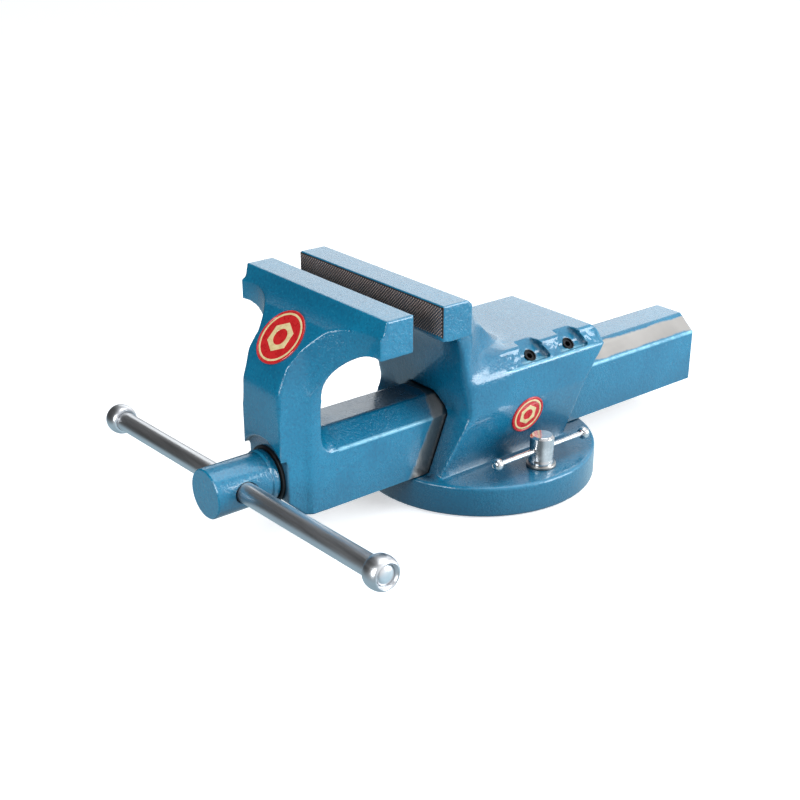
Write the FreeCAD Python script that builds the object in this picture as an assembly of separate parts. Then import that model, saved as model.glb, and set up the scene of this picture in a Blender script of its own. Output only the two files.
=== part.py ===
import FreeCAD, Part
import math
import os

# Bench vise on a swivel base. Millimetres, +Z up. The origin is on the bench face at the swivel axis.
# The working end points along -Y and the slide bar runs along Y.

# Jaws
jaw_width = 150.0
jaw_top = 162.0
jaw_depth = 21.0
jaw_gap = 21.2
rear_jaw_y = -99.4
jaw_head_height = 24.0
plate_height = 21.0
plate_thickness = 5.0

# Slide bar
bar_width = 52.8
bar_bottom = 22.9
bar_height = 51.8
bar_rear_y = 206.0
bar_chamfer_width = 14.0
bar_chamfer_height = 12.0
bar_end_wall = 8.0
slide_clearance = 0.3

# Swivel base
disc_radius = 85.0
disc_top = 22.4
bench_gap = 0.4
skirt_thickness = 7.6
base_plate_height = 14.0
swivel_clearance = 0.3
pivot_radius = 12.0
groove_half_width = 8.5
bench_bolt_circle_radius = 38.0
bench_bolt_radius = 5.5
bench_bolt_count = 4
bench_counterbore_radius = 10.0
bench_counterbore_depth = 8.0

# Fixed body
body_top = 103.6
housing_wall = 25.6
housing_foot_wall = 12.6
bevel_width = 11.0
bevel_height = 12.0
body_front_y = -51.0
body_rear_y = 72.0
waist_z = 67.0

# Front jaw neck
neck_reach = 28.5
neck_front_width = 41.6
spot_face_radius = 26.0

# Spindle and handle
spindle_z = 47.3
head_radius = 16.4
head_length = 45.2
thread_radius = 12.5
thread_lead = 6.0
spindle_end_y = 115.0
collar_length = 10.0
washer_radius = 19.0
washer_thickness = 2.0
running_clearance = 0.06
nut_front_y = -62.0
nut_length = 40.0
handle_radius = 6.75
handle_length = 300.0
handle_tilt = 2.57
knob_length = 13.0

# Swivel clamps
clamp_inset = 21.0
clamp_y = 2.0
clamp_bolt_radius = 5.0
clamp_nut_radius = 8.4
clamp_nut_top = 45.3
clamp_washer_radius = 10.3
clamp_washer_thickness = 2.0
tommy_z = 34.6
tommy_radius = 1.9
tommy_length = 82.0
tommy_knob_radius = 3.7

# Gib and its screws
gib_length = 110.0
gib_thickness = 4.0
gib_screw_radius = 4.0
gib_screw_positions = (9.0, 46.0)
gib_notch_half_width = 7.0
gib_notch_flare = 6.0
gib_notch_reach = 6.0
gib_notch_depth = 5.0
gib_screw_sink = 0.8
gib_socket_radius = 2.3
gib_socket_depth = 3.5
gib_screw_clearance = 0.05
gib_clearance = 0.12
gib_pocket_clearance = 0.1

# Badges
front_badge_radius = 19.0
body_badge_radius = 14.0
badge_thickness = 0.8

# Sizes that follow from the ones above
front_jaw_y = rear_jaw_y - jaw_gap
front_face_y = front_jaw_y - jaw_depth
neck_front_y = front_face_y - 41.9
neck_rear_y = neck_front_y + neck_reach
spot_face_y = neck_front_y + 4.5
bar_top = bar_bottom + bar_height
bar_half = bar_width / 2
body_half = bar_half + housing_wall
body_flat_half = body_half - bevel_width
body_foot_half = bar_half + housing_foot_wall
shank_radius = thread_radius + 0.5
collar_radius = shank_radius + 2
channel_half = collar_radius + 1
channel_top = spindle_z + thread_radius + 5.1
knob_radius = handle_radius + 3.75
clamp_x = disc_radius - clamp_inset
clamp_radius = math.hypot(clamp_x, clamp_y)
web_bottom = base_plate_height + swivel_clearance
chamfer_angle = math.degrees(math.atan2(bar_chamfer_height, bar_chamfer_width))
head_rear_y = spot_face_y - washer_thickness
handle_y = head_rear_y - head_length + 20.5


def wire(points, place):
    """Closed wire of straight edges; an item (mid, end) makes an arc from the point before it."""
    edges = []
    first = place(*points[0])
    last = first
    for item in points[1:]:
        if isinstance(item[0], tuple):
            end = place(*item[1])
            edges.append(Part.Arc(last, place(*item[0]), end).toShape())
        else:
            end = place(*item)
            edges.append(Part.makeLine(last, end))
        last = end
    if (last - first).Length > 1e-6:
        edges.append(Part.makeLine(last, first))
    return Part.Wire(edges)


def side_profile(points, half_width):
    """Extrude a (y, z) outline across the vise, symmetric about x = 0."""
    outline = wire(points, lambda y, z: FreeCAD.Vector(-half_width, y, z))
    return Part.Face(outline).extrude(FreeCAD.Vector(2 * half_width, 0, 0))


def front_profile(points, y_from, y_to):
    """Extrude the right half of an (x, z) outline along y and mirror it."""
    outline = wire(points, lambda x, z: FreeCAD.Vector(x, y_from, z))
    right = Part.Face(outline).extrude(FreeCAD.Vector(0, y_to - y_from, 0))
    left = right.mirror(FreeCAD.Vector(0, 0, 0), FreeCAD.Vector(1, 0, 0))
    return right.fuse(left).removeSplitter()


def top_profile(points, z_from, z_to):
    """Extrude the right half of an (x, y) outline upward and mirror it."""
    outline = wire(points, lambda x, y: FreeCAD.Vector(x, y, z_from))
    right = Part.Face(outline).extrude(FreeCAD.Vector(0, 0, z_to - z_from))
    left = right.mirror(FreeCAD.Vector(0, 0, 0), FreeCAD.Vector(1, 0, 0))
    return right.fuse(left).removeSplitter()


def rod(radius, start, end):
    """Cylinder between two points."""
    axis = end - start
    return Part.makeCylinder(radius, axis.Length, start, axis)


def upright(radius, x, y, z_from, z_to):
    return rod(radius, FreeCAD.Vector(x, y, z_from), FreeCAD.Vector(x, y, z_to))


def along_spindle(radius, y_from, y_to):
    return rod(radius, FreeCAD.Vector(0, y_from, spindle_z), FreeCAD.Vector(0, y_to, spindle_z))


def box(x_from, x_to, y_from, y_to, z_from, z_to):
    corner = FreeCAD.Vector(x_from, y_from, z_from)
    return Part.makeBox(x_to - x_from, y_to - y_from, z_to - z_from, corner)


def turned(profile, centre, axis):
    """Revolve (radius, height) points about an axis through centre; height runs along the axis."""
    outline = wire(profile, lambda r, h: FreeCAD.Vector(r, 0, h))
    solid = Part.Face(outline).revolve(FreeCAD.Vector(0, 0, 0), FreeCAD.Vector(0, 0, 1), 360)
    solid.Placement = FreeCAD.Placement(centre, FreeCAD.Rotation(FreeCAD.Vector(0, 0, 1), axis))
    return solid


def bar_outline(grow):
    """Right half of the slide bar's section, grown on every side but the bottom."""
    flat = bar_half - bar_chamfer_width
    top = bar_top + grow
    side = bar_half + grow
    shoulder = bar_top - bar_chamfer_height
    return [(0, bar_bottom), (side, bar_bottom), (side, shoulder), (flat, top), (0, top)]


# ---------------------------------------------------------------- swivel base

def base_plate():
    radius = disc_radius - skirt_thickness - swivel_clearance
    plate = upright(radius, 0, 0, 0, base_plate_height)
    groove_floor = 3.5
    neck_z = 9.0
    neck_half = clamp_bolt_radius + 0.3
    wide = upright(clamp_radius + groove_half_width, 0, 0, groove_floor, neck_z)
    wide = wide.cut(upright(clamp_radius - groove_half_width, 0, 0, groove_floor, neck_z))
    narrow = upright(clamp_radius + neck_half, 0, 0, neck_z, base_plate_height)
    narrow = narrow.cut(upright(clamp_radius - neck_half, 0, 0, neck_z, base_plate_height))
    plate = plate.cut(wide).cut(narrow)
    plate = plate.cut(upright(groove_half_width, 0, clamp_radius, 0, groove_floor))
    plate = plate.cut(upright(pivot_radius, 0, 0, 0, base_plate_height))
    for step in range(bench_bolt_count):
        angle = math.radians(45 + 360 / bench_bolt_count * step)
        x = bench_bolt_circle_radius * math.cos(angle)
        y = bench_bolt_circle_radius * math.sin(angle)
        plate = plate.cut(upright(bench_bolt_radius, x, y, 0, base_plate_height))
        recess_floor = base_plate_height - bench_counterbore_depth
        plate = plate.cut(upright(bench_counterbore_radius, x, y, recess_floor, base_plate_height))
    return plate


def pivot_pin():
    top = disc_top - 0.6
    profile = [(0, 1), (pivot_radius - 1, 1), (pivot_radius, 2), (pivot_radius, top - 1),
               (pivot_radius - 1, top), (0, top)]
    return turned(profile, FreeCAD.Vector(0, 0, 0), FreeCAD.Vector(0, 0, 1))


def clamp_bolt(side):
    x = side * clamp_x
    head = upright(groove_half_width - 0.3, x, clamp_y, 3.8, 8.7)
    shank = upright(clamp_bolt_radius, x, clamp_y, 8.7, tommy_z - tommy_radius - 1.6)
    return head.fuse(shank).removeSplitter()


def clamp_washer(side):
    x = side * clamp_x
    top = disc_top + clamp_washer_thickness
    ring = upright(clamp_washer_radius, x, clamp_y, disc_top, top)
    return ring.cut(upright(clamp_bolt_radius + 2.9, x, clamp_y, disc_top, top))


def clamp_nut(side):
    x = side * clamp_x
    foot = disc_top + clamp_washer_thickness
    spigot = clamp_bolt_radius + 2.5
    flange = clamp_nut_radius + 0.6
    profile = [(0, web_bottom + 0.7), (spigot, web_bottom + 0.7), (spigot, foot), (flange, foot),
               (flange, foot + 1.5), (clamp_nut_radius, foot + 4),
               (clamp_nut_radius, clamp_nut_top - 1.6), (clamp_nut_radius - 1.6, clamp_nut_top),
               (0, clamp_nut_top)]
    nut = turned(profile, FreeCAD.Vector(x, clamp_y, 0), FreeCAD.Vector(0, 0, 1))
    thread_end = tommy_z - tommy_radius - 1.2
    nut = nut.cut(upright(clamp_bolt_radius + running_clearance, x, clamp_y, web_bottom, thread_end))
    reach = clamp_nut_radius + 2
    hole = rod(tommy_radius + running_clearance, FreeCAD.Vector(x, clamp_y - reach, tommy_z),
               FreeCAD.Vector(x, clamp_y + reach, tommy_z))
    return nut.cut(hole)


def tommy_bar(side):
    x = side * clamp_x
    half = tommy_length / 2 - 1.5
    start = FreeCAD.Vector(x, clamp_y - half, tommy_z)
    return rod(tommy_radius, start, FreeCAD.Vector(x, clamp_y + half, tommy_z))


def tommy_knobs(side):
    x = side * clamp_x
    r = tommy_knob_radius
    half = tommy_length / 2
    knobs = []
    for end in (-1, 1):
        profile = [(0, -3), (r - 1.2, -3), (r, -1.8), (r, 0),
                   ((r * 0.8, r * 0.6), (0.6, r * 0.95)), (0, r * 0.95)]
        centre = FreeCAD.Vector(x, clamp_y + end * half, tommy_z)
        knob = turned(profile, centre, FreeCAD.Vector(0, end, 0))
        knobs.append(knob.cut(tommy_bar(side)))
    return Part.makeCompound(knobs)


# ---------------------------------------------------------------- fixed body

def housing():
    """Block around the slide bar, tapering down to the swivel disc."""
    side = side_profile([(body_front_y - 18, disc_top), (body_rear_y - 23, disc_top),
                         (body_rear_y - 14, waist_z), (body_rear_y + 1, body_top - bevel_height),
                         (body_rear_y + 1, body_top - 3), (body_rear_y - 2, body_top),
                         (body_front_y, body_top), (body_front_y, waist_z)], body_half)
    front = front_profile([(0, disc_top), (body_foot_half, disc_top), (body_half - 2, waist_z),
                           (body_half, body_top - bevel_height), (body_flat_half, body_top), (0, body_top)],
                          body_front_y - 20, body_rear_y + 5)
    return side.common(front)


def rear_jaw_head():
    """Full-width jaw, its buttress and its overhang."""
    back = rear_jaw_y + plate_thickness
    land = rear_jaw_y + jaw_depth
    under = jaw_top - jaw_head_height
    half = jaw_width / 2
    crook_y = body_front_y - 8
    crook_mid = (back + 0.72 * (crook_y - back), under - 9)
    side = side_profile([(body_front_y, waist_z), (-4, waist_z), (-4, body_top - 1), (land + 2, jaw_top - 2),
                         (land, jaw_top), (back, jaw_top), (back, jaw_top - plate_height),
                         (rear_jaw_y + 1, jaw_top - plate_height), (rear_jaw_y + 1, under + 1),
                         (back + 4, under), (crook_mid, (crook_y, under - 30))], half)
    flare_mid = (body_half + 4, under - 6)
    front = front_profile([(0, waist_z), (body_half - 2, waist_z), (body_half - 2, under - 20),
                           (flare_mid, (half - 5, under)), (half, under), (half, jaw_top), (0, jaw_top)],
                          rear_jaw_y, 0)
    rib_mid = ((half + 23) / 2 - 5, (land - 4) / 2 - 3.5)
    top = top_profile([(0, rear_jaw_y), (half, rear_jaw_y), (half, land + 3), (rib_mid, (23, -3)),
                       (0, -3)], waist_z, jaw_top)
    return side.common(front).common(top)


def swivel_disc():
    edge = 1.2
    inner = disc_radius - skirt_thickness
    profile = [(0, web_bottom), (inner, web_bottom), (inner, bench_gap), (disc_radius, bench_gap),
               (disc_radius, disc_top - edge), (disc_radius - edge, disc_top), (0, disc_top)]
    return turned(profile, FreeCAD.Vector(0, 0, 0), FreeCAD.Vector(0, 0, 1))


def gib_frame(y):
    """Point at the middle of the bar's right chamfer, and the direction square to it."""
    angle = math.radians(chamfer_angle)
    middle = FreeCAD.Vector(bar_half - bar_chamfer_width / 2, y, bar_top - bar_chamfer_height / 2)
    return middle, FreeCAD.Vector(math.sin(angle), 0, math.cos(angle))


def gib_block(grow):
    """Flat strip lying on the bar's right chamfer."""
    width = math.hypot(bar_chamfer_width, bar_chamfer_height) - 4 + 2 * grow
    length = gib_length + 2 * grow
    height = gib_thickness + 2 * grow
    block = Part.makeBox(width, length, height, FreeCAD.Vector(-width / 2, -length / 2, -grow))
    middle, out = gib_frame((body_front_y + body_rear_y) / 2)
    tilt = FreeCAD.Rotation(FreeCAD.Vector(0, 1, 0), chamfer_angle)
    block.Placement = FreeCAD.Placement(middle + out * gib_clearance, tilt)
    return block


def gib_screw_axis(y):
    """Seat on the gib, floor of the notch in the body's bevel, and the direction between them."""
    middle, out = gib_frame(y)
    seat = middle + out * (gib_clearance + gib_thickness)
    bevel_edge = FreeCAD.Vector(body_flat_half, y, body_top)
    bevel_normal = FreeCAD.Vector(bevel_height, 0, bevel_width).normalize()
    reach = (bevel_edge - seat).dot(bevel_normal) / out.dot(bevel_normal)
    return seat, seat + out * (reach - gib_notch_depth), out


def gib_notch(y):
    """Flared pocket that gives the screw a flat seat across the bevel."""
    seat, notch, out = gib_screw_axis(y)
    across = FreeCAD.Vector(out.z, 0, -out.x)
    inner = (body_top - notch.z) / out.x - 0.5
    narrow = FreeCAD.Vector(0, gib_notch_half_width, 0)
    wide = FreeCAD.Vector(0, gib_notch_half_width + gib_notch_flare, 0)
    start = notch - across * inner
    end = notch + across * gib_notch_reach
    floor = Part.makePolygon([start - narrow, start + narrow, end + wide, end - wide, start - narrow])
    return Part.Face(floor).extrude(out * 30)


def fixed_body():
    body = swivel_disc().fuse(housing()).fuse(rear_jaw_head())
    tunnel = front_profile(bar_outline(slide_clearance), body_front_y - 40, body_rear_y + 10)
    floor = box(-bar_half - slide_clearance, bar_half + slide_clearance, body_front_y - 40, body_rear_y + 10,
                disc_top, bar_bottom + 1)
    body = body.cut(tunnel).cut(floor).cut(gib_block(gib_pocket_clearance))
    for y in gib_screw_positions:
        seat, notch, out = gib_screw_axis(y)
        body = body.cut(rod(gib_screw_radius + gib_screw_clearance, seat - out, notch + out))
        body = body.cut(gib_notch(y))
    body = body.cut(upright(pivot_radius + running_clearance, 0, 0, web_bottom - 1, disc_top + 1))
    for side in (-1, 1):
        x = side * clamp_x
        body = body.cut(upright(clamp_bolt_radius + 2.9, x, clamp_y, web_bottom - 1, disc_top + 1))
    for y in nut_bolt_positions():
        body = body.cut(upright(4.3, 0, y, web_bottom - 1, disc_top + 1))
        body = body.cut(upright(7, 0, y, web_bottom - 1, web_bottom + 5))
    return body.removeSplitter()


def rear_jaw_plate():
    half = jaw_width / 2
    return box(-half, half, rear_jaw_y, rear_jaw_y + plate_thickness, jaw_top - plate_height, jaw_top)


def gib_screw(y):
    seat, notch, out = gib_screw_axis(y)
    mouth = notch - out * gib_screw_sink
    corners = []
    for k in range(7):
        angle = math.radians(60 * k)
        corners.append(FreeCAD.Vector(math.cos(angle), math.sin(angle), 0) * gib_socket_radius)
    socket = Part.Face(Part.makePolygon(corners)).extrude(FreeCAD.Vector(0, 0, gib_socket_depth + 1))
    turn = FreeCAD.Rotation(FreeCAD.Vector(0, 0, 1), out)
    socket.Placement = FreeCAD.Placement(mouth - out * gib_socket_depth, turn)
    return rod(gib_screw_radius, seat, mouth).cut(socket)


def nut_bolt_positions():
    return (nut_front_y + 10, nut_front_y + nut_length - 10)


def nut_bolt(y):
    head = upright(6.5, 0, y, web_bottom + 0.2, web_bottom + 5)
    return head.fuse(upright(4, 0, y, web_bottom + 5, spindle_z - thread_radius - 2.5)).removeSplitter()


def spindle_nut():
    half = channel_half - 0.6
    top = spindle_z + thread_radius + 3
    block = box(-half, half, nut_front_y, nut_front_y + nut_length, disc_top, top)
    back = nut_front_y + nut_length
    block = block.cut(along_spindle(thread_radius + running_clearance, nut_front_y - 1, back + 1))
    for y in nut_bolt_positions():
        block = block.cut(upright(4, 0, y, disc_top - 1, spindle_z - thread_radius - 2.5))
    return block


def badge(radius, centre, normal):
    """Thin domed disc with a raised rim."""
    profile = [(0, 0), (radius, 0), (radius, badge_thickness), (radius - 1.2, badge_thickness),
               (radius - 1.2, badge_thickness - 0.3), (0, badge_thickness - 0.3)]
    return turned(profile, centre, normal)


def body_badge():
    foot = body_foot_half
    rise = waist_z - disc_top
    run = body_half - 2 - foot
    z = 54.0
    x = foot + run * (z - disc_top) / rise
    return badge(body_badge_radius, FreeCAD.Vector(x, 4, z), FreeCAD.Vector(rise, 0, -run).normalize())


# ---------------------------------------------------------------- moving jaw

def front_jaw():
    half = jaw_width / 2
    under = jaw_top - jaw_head_height
    back = front_jaw_y - plate_thickness
    throat_mid = (neck_rear_y + 8.6, under - 9)
    side = side_profile([(neck_rear_y, bar_bottom), (neck_rear_y, under - 38),
                         (throat_mid, (back + 2, under)), (front_jaw_y - 1, under),
                         (front_jaw_y - 1, jaw_top - plate_height), (back, jaw_top - plate_height),
                         (back, jaw_top), (front_face_y, jaw_top), (front_face_y - 2, jaw_top - 9),
                         (front_face_y - 13.5, jaw_top - 14), (neck_front_y + 6.5, jaw_top - 36.5),
                         (neck_front_y, jaw_top - 54), (neck_front_y, bar_bottom + 15),
                         (neck_front_y + 16, bar_bottom)], half)
    arm_mid = (bar_half + 13, under - 13)
    front = front_profile([(0, bar_bottom), (bar_half, bar_bottom), (bar_half, under - 45),
                           (arm_mid, (half - 4, under)), (half, under), (half, jaw_top),
                           (0, jaw_top)], neck_front_y - 2, front_jaw_y)
    nose = neck_front_width / 2
    flare_mid = (nose + 12, front_face_y - 15)
    top = top_profile([(0, neck_front_y - 1), (nose, neck_front_y - 1), (nose + 3, neck_front_y + 16),
                       (flare_mid, (half, front_face_y - 5)), (half, front_jaw_y), (0, front_jaw_y)],
                      bar_bottom, jaw_top)
    jaw = side.common(front).common(top)
    jaw = jaw.cut(along_spindle(spot_face_radius, neck_front_y - 5, spot_face_y))
    bore = along_spindle(shank_radius + running_clearance, neck_front_y, neck_rear_y + 1)
    return jaw.cut(bore).removeSplitter()


def slide_bar():
    bar = front_profile(bar_outline(0), neck_rear_y, bar_rear_y)
    channel = box(-channel_half, channel_half, neck_rear_y, bar_rear_y - bar_end_wall,
                  bar_bottom - 1, channel_top)
    return bar.cut(channel)


def front_jaw_plate():
    half = jaw_width / 2
    return box(-half, half, front_jaw_y - plate_thickness, front_jaw_y, jaw_top - plate_height, jaw_top)


def front_badge():
    top = FreeCAD.Vector(0, front_face_y - 13.5, jaw_top - 14)
    bottom = FreeCAD.Vector(0, neck_front_y + 6.5, jaw_top - 36.5)
    slope = (bottom - top).normalize()
    normal = FreeCAD.Vector(0, slope.z, -slope.y)
    return badge(front_badge_radius, (top + bottom) / 2, normal)


# ---------------------------------------------------------------- spindle and handle

def handle_axis():
    angle = math.radians(handle_tilt)
    return FreeCAD.Vector(math.cos(angle), 0, math.sin(angle))


def spindle():
    r = head_radius
    head = [(0, 0), (r - 0.8, 0), (r, 0.8), (r, head_length - 6), (r + 1, head_length - 5),
            (r + 1, head_length - 1), (r, head_length), (shank_radius, head_length)]
    shank_end = head_length + neck_rear_y - head_rear_y + collar_length + 6
    root = thread_radius - 2.2
    profile = head + [(shank_radius, shank_end), (root, shank_end + 2)]
    length = spindle_end_y - (head_rear_y - head_length)
    rings = int((length - shank_end - 8) / thread_lead)
    for k in range(rings):
        start = shank_end + 3 + k * thread_lead
        profile += [(root, start), (thread_radius, start + 1)]
        profile += [(thread_radius, start + 2.6), (root, start + 3.6)]
    profile += [(root, length - 1), (root - 1, length), (0, length)]
    solid = turned(profile, FreeCAD.Vector(0, head_rear_y - head_length, spindle_z), FreeCAD.Vector(0, 1, 0))
    centre = FreeCAD.Vector(0, handle_y, spindle_z)
    reach = handle_axis() * (r + 4)
    solid = solid.cut(rod(handle_radius + 0.3, centre - reach, centre + reach))
    for end in (-1, 1):
        mouth = centre + handle_axis() * (end * (r - 1.5))
        cone = Part.makeCone(handle_radius + 0.3, handle_radius + 2.6, 2.3, mouth, handle_axis() * end)
        solid = solid.cut(cone)
    pin = collar_middle()
    return solid.cut(upright(2.5, 0, pin, spindle_z - 20, spindle_z + 20))


def collar_middle():
    return neck_rear_y + 0.5 + collar_length / 2


def thrust_washer():
    ring = along_spindle(washer_radius, head_rear_y, spot_face_y)
    return ring.cut(along_spindle(shank_radius + running_clearance, head_rear_y, spot_face_y))


def retaining_collar():
    front = neck_rear_y + 0.5
    ring = along_spindle(collar_radius, front, front + collar_length)
    ring = ring.cut(along_spindle(shank_radius, front, front + collar_length))
    return ring.cut(upright(2.5, 0, collar_middle(), spindle_z - 20, spindle_z + 20))


def collar_pin():
    return upright(2.5, 0, collar_middle(), spindle_z - collar_radius, spindle_z + collar_radius)


def handle_bar():
    centre = FreeCAD.Vector(0, handle_y, spindle_z)
    half = handle_axis() * (handle_length / 2 + knob_length / 2 - 1)
    return rod(handle_radius, centre - half, centre + half)


def handle_knob(side):
    """Rounded ring riveted on the end of the handle."""
    half = knob_length / 2
    r = knob_radius
    rim = handle_radius + 1.3
    profile = [(0, -half), (handle_radius + 1, -half), ((r - 0.9, -half * 0.62), (r, 0)),
               ((r - 0.9, half * 0.62), (rim, half)), (handle_radius + 0.4, half - 1.6), (0, half - 1.6)]
    centre = FreeCAD.Vector(0, handle_y, spindle_z) + handle_axis() * (side * handle_length / 2)
    return turned(profile, centre, handle_axis() * side).cut(handle_bar())


os.makedirs("parts", exist_ok=True)
nodes = {
    "base_plate": base_plate(),
    "pivot_pin": pivot_pin(),
    "fixed_body": fixed_body(),
    "rear_jaw_plate": rear_jaw_plate(),
    "gib_strip": gib_block(0),
    "gib_screws": Part.makeCompound([gib_screw(y) for y in gib_screw_positions]),
    "spindle_nut": spindle_nut(),
    "nut_bolts": Part.makeCompound([nut_bolt(y) for y in nut_bolt_positions()]),
    "clamp_bolts": Part.makeCompound([clamp_bolt(-1), clamp_bolt(1)]),
    "clamp_washers": Part.makeCompound([clamp_washer(-1), clamp_washer(1)]),
    "body_badge": body_badge(),
    "left_clamp_nut": clamp_nut(-1),
    "right_clamp_nut": clamp_nut(1),
    "left_tommy_bar": tommy_bar(-1),
    "right_tommy_bar": tommy_bar(1),
    "left_tommy_knobs": tommy_knobs(-1),
    "right_tommy_knobs": tommy_knobs(1),
    "front_jaw": front_jaw(),
    "slide_bar": slide_bar(),
    "front_jaw_plate": front_jaw_plate(),
    "front_badge": front_badge(),
    "spindle": spindle(),
    "thrust_washer": thrust_washer(),
    "retaining_collar": retaining_collar(),
    "collar_pin": collar_pin(),
    "handle_bar": handle_bar(),
    "left_handle_knob": handle_knob(-1),
    "right_handle_knob": handle_knob(1),
}
for name, shape in nodes.items():
    shape.exportStep("parts/" + name + ".step")
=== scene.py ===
import math

import bmesh
import bpy
import numpy as np
from mathutils import Matrix, Vector, noise


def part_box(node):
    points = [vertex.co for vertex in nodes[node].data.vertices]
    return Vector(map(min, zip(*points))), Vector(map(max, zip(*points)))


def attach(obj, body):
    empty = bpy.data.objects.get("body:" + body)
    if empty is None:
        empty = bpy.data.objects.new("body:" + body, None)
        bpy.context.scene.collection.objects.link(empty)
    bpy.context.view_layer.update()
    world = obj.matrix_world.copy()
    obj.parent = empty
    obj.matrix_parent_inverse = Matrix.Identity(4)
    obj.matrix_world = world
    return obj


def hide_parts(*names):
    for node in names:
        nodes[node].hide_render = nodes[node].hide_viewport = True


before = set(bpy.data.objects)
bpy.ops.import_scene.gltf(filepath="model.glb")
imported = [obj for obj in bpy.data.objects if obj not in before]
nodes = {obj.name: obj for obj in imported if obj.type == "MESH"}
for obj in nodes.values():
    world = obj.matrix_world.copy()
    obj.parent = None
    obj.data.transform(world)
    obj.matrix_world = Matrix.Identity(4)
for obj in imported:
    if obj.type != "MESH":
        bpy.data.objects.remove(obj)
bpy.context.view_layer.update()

MM = 0.001

# Places shared with the part, in metres
SPINDLE_Z = 47.3 * MM
HANDLE_CENTRE = Vector((0, -205.7, 47.3)) * MM
HANDLE_TILT = math.radians(2.57)
HANDLE_AXIS = Vector((math.cos(HANDLE_TILT), 0, math.sin(HANDLE_TILT)))
HANDLE_HALF = 150 * MM
HANDLE_RADIUS = 6.75 * MM
HEAD_REAR_Y = -181.0 * MM
SPOT_FACE_Y = -179.0 * MM
SPOT_FACE_RADIUS = 26.0 * MM
NECK_REAR_Y = -155.0 * MM
BAR_HALF = 26.4 * MM
BAR_BOTTOM = 22.9 * MM
BAR_TOP = 74.7 * MM
BAR_SHOULDER = 62.7 * MM
BAR_FLAT_HALF = 12.4 * MM
DISC_TOP = 22.4 * MM
CHANNEL_HALF = 16 * MM
CHANNEL_CEILING = 64.9 * MM
BAR_END_Y = 206 * MM
GIB_SCREW_MOUTHS = [Vector((42.05, y, 95.11)) * MM for y in (9, 46)]
GIB_SCREW_AXIS = Vector((0.651, 0, 0.759)).normalized()
FRONT_BADGE = {"centre": Vector((0, -166.05, 136.75)) * MM, "normal": (0, -0.7166, 0.6975), "radius": 19.0}
BODY_BADGE = {"centre": Vector((46.79, 4, 54)) * MM, "normal": (0.9709, 0, -0.2394), "radius": 14.0}

# How the castings are remeshed
BODY_VOXEL = 0.9 * MM
JAW_VOXEL = 0.8 * MM
BODY_CORNER_ROUNDS = 150
JAW_CORNER_ROUNDS = 110
CREASE_ROUNDS = 45
NORMALS_EVERY = 8
CORNER_SPEED = 0.9
KEEP_RATIO = 0.4
WELD_DISTANCE = 2e-6
PLATE_BACK_INSET = 0.6 * MM
PLATE_BACK_LAP = 0.5 * MM
SLEEVE_GROWTH = 0.12 * MM
SLEEVE_LAP = 3 * MM
SLEEVE_LENGTH = 13 * MM
NECK_FILLET = 8 * MM
RIPPLE_DEPTH = 0.10 * MM
RIPPLE_SCALE = 55

# Knurl of the jaw plates
KNURL_PITCH = 1.15 * MM
KNURL_DEPTH = 0.7 * MM
KNURL_MARGIN = 0.25 * MM
KNURL_THICKNESS = 1.3 * MM

# Camera, lights and the direction the studio walls are brightest in
CAMERA_PLACE = (0.6229, -0.5731, 0.4126)
CAMERA_FORWARD = (-0.7158, 0.5762, -0.3946)
CAMERA_LENS = 57.56
CAMERA_SENSOR = 36.0
LIGHT_COLOUR = (0.92, 0.97, 1.0)
BRIGHT_WALL = (0.60, 0.72, 0.15)
WALL_COLOUR = (0.95, 0.97, 1.0)
GROUND_COLOUR = (0.62, 0.86, 1.0)
FLOOR_SIZE = 30.0
# name, place, target, width, height, power
LIGHTS = (("behind", (-1.45, 1.15, 0.85), (0, 0, 0.1), 1.8, 0.9, 6.2),
          ("side", (0.95, 0.75, 0.45), (0, 0.05, 0.05), 0.7, 0.9, 15),
          ("overhead", (0.1, 0.2, 1.5), (0, 0, 0), 1.2, 1.2, 8),
          ("front", (0.25, -0.9, 0.35), (0, -0.2, 0.08), 0.4, 0.4, 4.8))

# Sockets of the Mix node
MIX_FACTOR = 0
MIX_VECTORS = (4, 5)
MIX_COLOURS = (6, 7)
MIX_VECTOR_OUT = 1
MIX_COLOUR_OUT = 2

# Paint and metal colours
DEEP_BLUE = (0.0004, 0.138, 0.258)
MID_BLUE = (0.0008, 0.182, 0.325)
SHADE_BLUE = (0.0004, 0.075, 0.165)
# Lighter blue for the painted highlight along outside edges, and for the grain's lighter flecks
EDGE_BLUE = (0.040, 0.345, 0.520)
# Painted highlight along lips and the bar's chamfer edges
LIP_HIGHLIGHT_BLUE = (0.24, 0.56, 0.72)
# Painted shade for recesses, on paint and on bare steel
PAINTED_SHADE_BLUE = (0.0002, 0.030, 0.070)
PAINTED_SHADE_STEEL = (0.050, 0.038, 0.032)
DARK_STEEL = (0.30, 0.285, 0.265)
PALE_STEEL = (0.56, 0.54, 0.515)
WORN_STEEL = (0.44, 0.42, 0.395)
GROUND_STEEL = (0.56, 0.535, 0.505)
CREAM = (0.80, 0.66, 0.36)
BADGE_RED = (0.62, 0.018, 0.020)


# ------------------------------------------------------------------ meshes

def make_object(name, bm, smooth_angle=35):
    """Object from a bmesh, smooth except across edges sharper than smooth_angle."""
    bmesh.ops.recalc_face_normals(bm, faces=bm.faces)
    mesh = bpy.data.meshes.new(name)
    bm.to_mesh(mesh)
    bm.free()
    obj = bpy.data.objects.new(name, mesh)
    bpy.context.scene.collection.objects.link(obj)
    mesh.shade_smooth()
    mesh.set_sharp_from_angle(angle=math.radians(smooth_angle))
    return obj


def add_bevel(obj, width, segments=3, angle=30):
    bevel = obj.modifiers.new("bevel", "BEVEL")
    bevel.width = width
    bevel.segments = segments
    bevel.limit_method = "ANGLE"
    bevel.angle_limit = math.radians(angle)
    bevel.harden_normals = True


def apply_modifiers(obj):
    depsgraph = bpy.context.evaluated_depsgraph_get()
    mesh = bpy.data.meshes.new_from_object(obj.evaluated_get(depsgraph))
    obj.modifiers.clear()
    obj.data = mesh


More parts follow.
